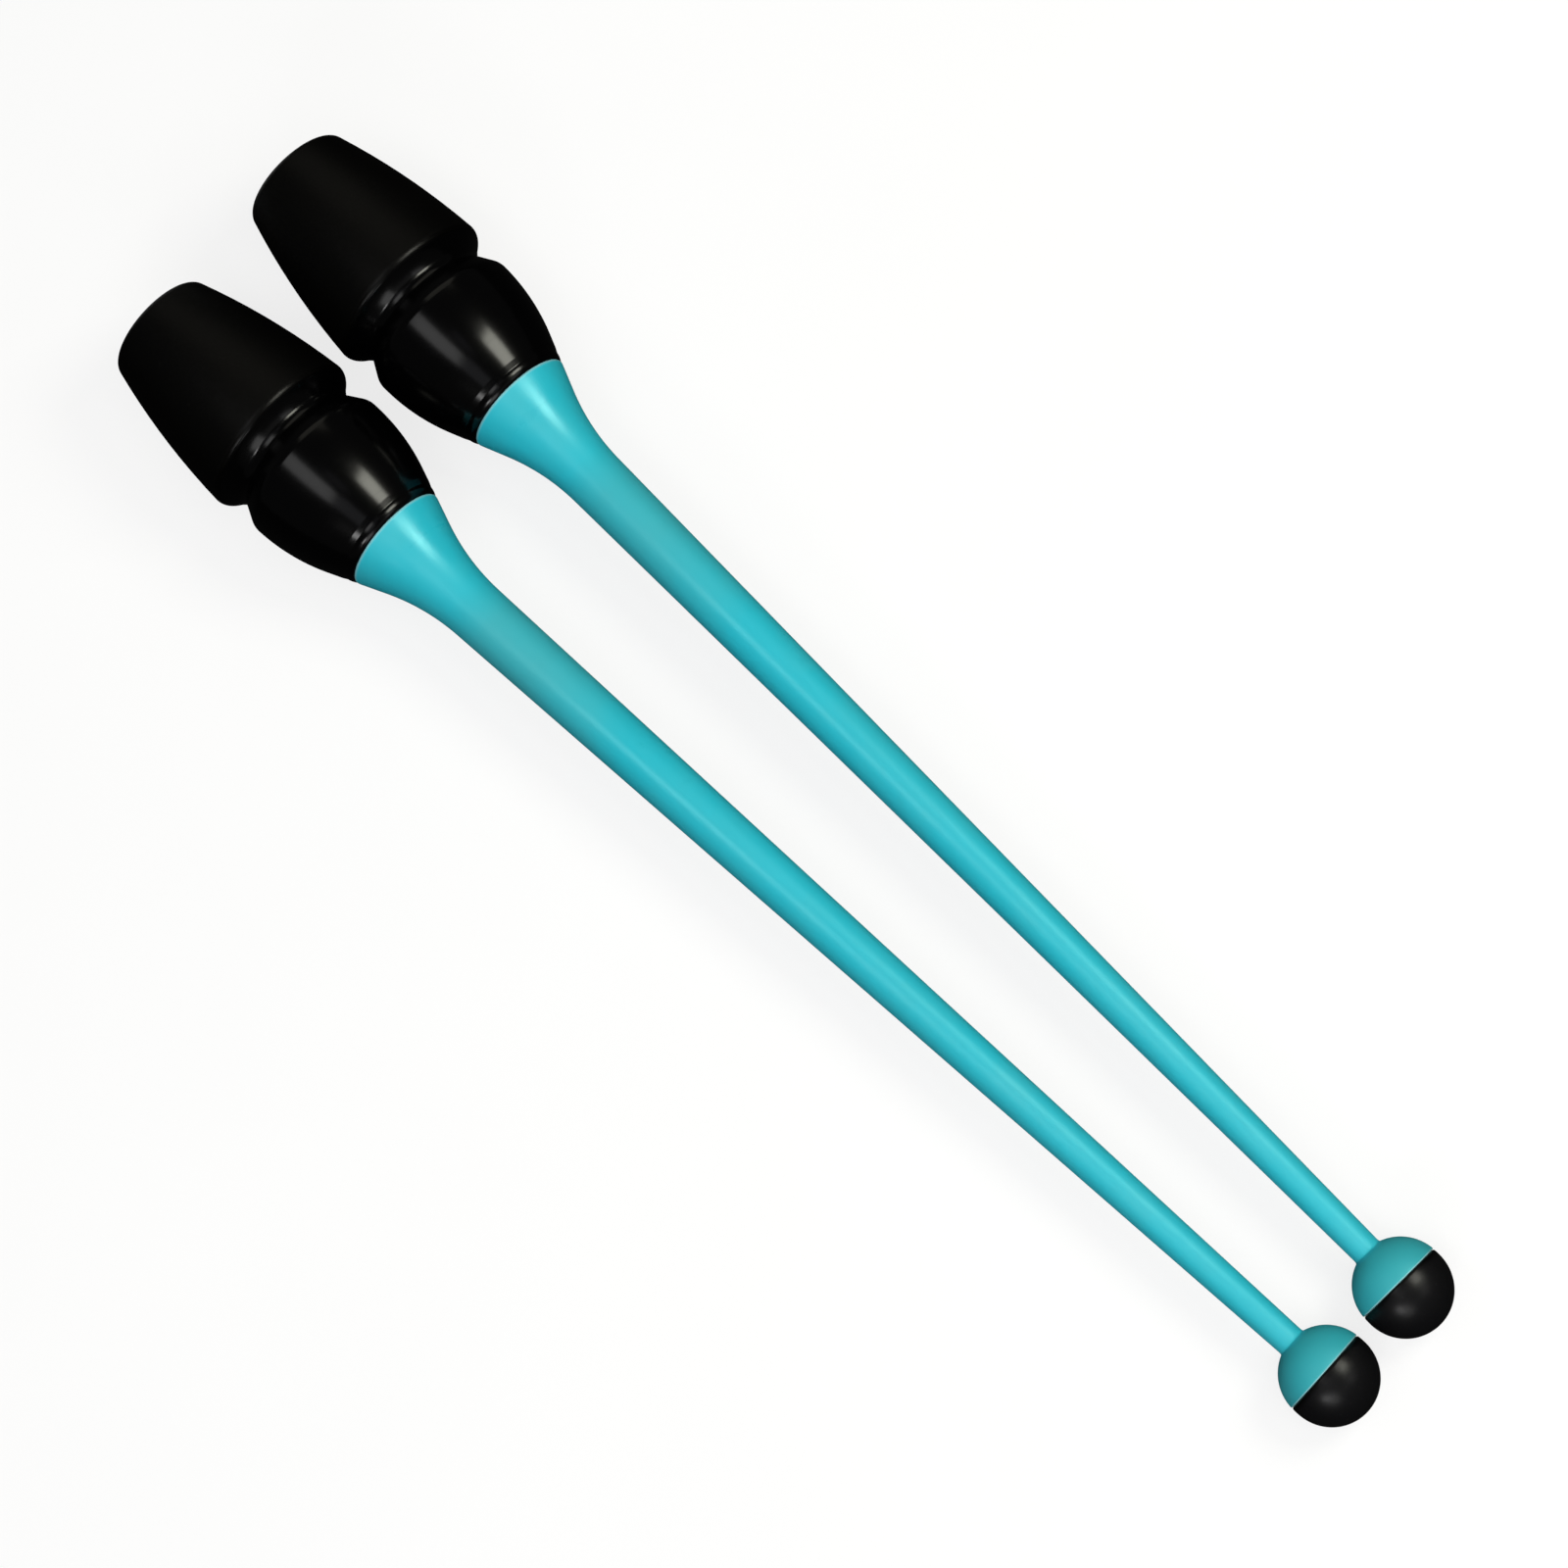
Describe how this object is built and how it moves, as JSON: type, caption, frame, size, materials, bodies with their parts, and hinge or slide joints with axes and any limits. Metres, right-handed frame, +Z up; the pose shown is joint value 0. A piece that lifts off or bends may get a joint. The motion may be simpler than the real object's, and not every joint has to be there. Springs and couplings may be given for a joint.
{
  "type": "pair of gymnastics clubs",
  "caption": "Turned gymnastics clubs with a soft barrel grip, a glossy bulb, a long tapered neck and a ball head that plugs into the other club's base.",
  "frame": {"origin": "on the floor, at the middle of the pair's bounding box", "axes": "+X from the bases to the balls, +Y from club B to club A, +Z up"},
  "size_m": [0.447, 0.104, 0.0504],
  "materials": {
    "matte_rubber": "matte",
    "gloss_black": "gloss",
    "core_plastic": "matte",
    "liner_rubber": "matte",
    "screw_steel": "satin",
    "insert_brass": "satin",
    "teal_plastic": "satin",
    "rod_fibre": "matte",
    "tip_rubber": "satin"
  },
  "bodies": {
    "club_a": {"grip_sleeve_a": "matte_rubber", "bulb_skin_a": "gloss_black", "body_core_a": "core_plastic", "socket_liner_a": "liner_rubber", "tie_screw_a": "screw_steel", "screw_washer_a": "screw_steel", "neck_insert_a": "insert_brass", "neck_a": "teal_plastic", "neck_rod_a": "rod_fibre", "head_tip_a": "tip_rubber"},
    "club_b": {"grip_sleeve_b": "matte_rubber", "bulb_skin_b": "gloss_black", "body_core_b": "core_plastic", "socket_liner_b": "liner_rubber", "tie_screw_b": "screw_steel", "screw_washer_b": "screw_steel", "neck_insert_b": "insert_brass", "neck_b": "teal_plastic", "neck_rod_b": "rod_fibre", "head_tip_b": "tip_rubber"}
  },
  "joints": [
    {"name": "club_b_lift", "type": "slide", "parent": "club_a", "child": "club_b", "axis": [0, 0, 1], "range_m": [0, 0.15]}
  ]
}
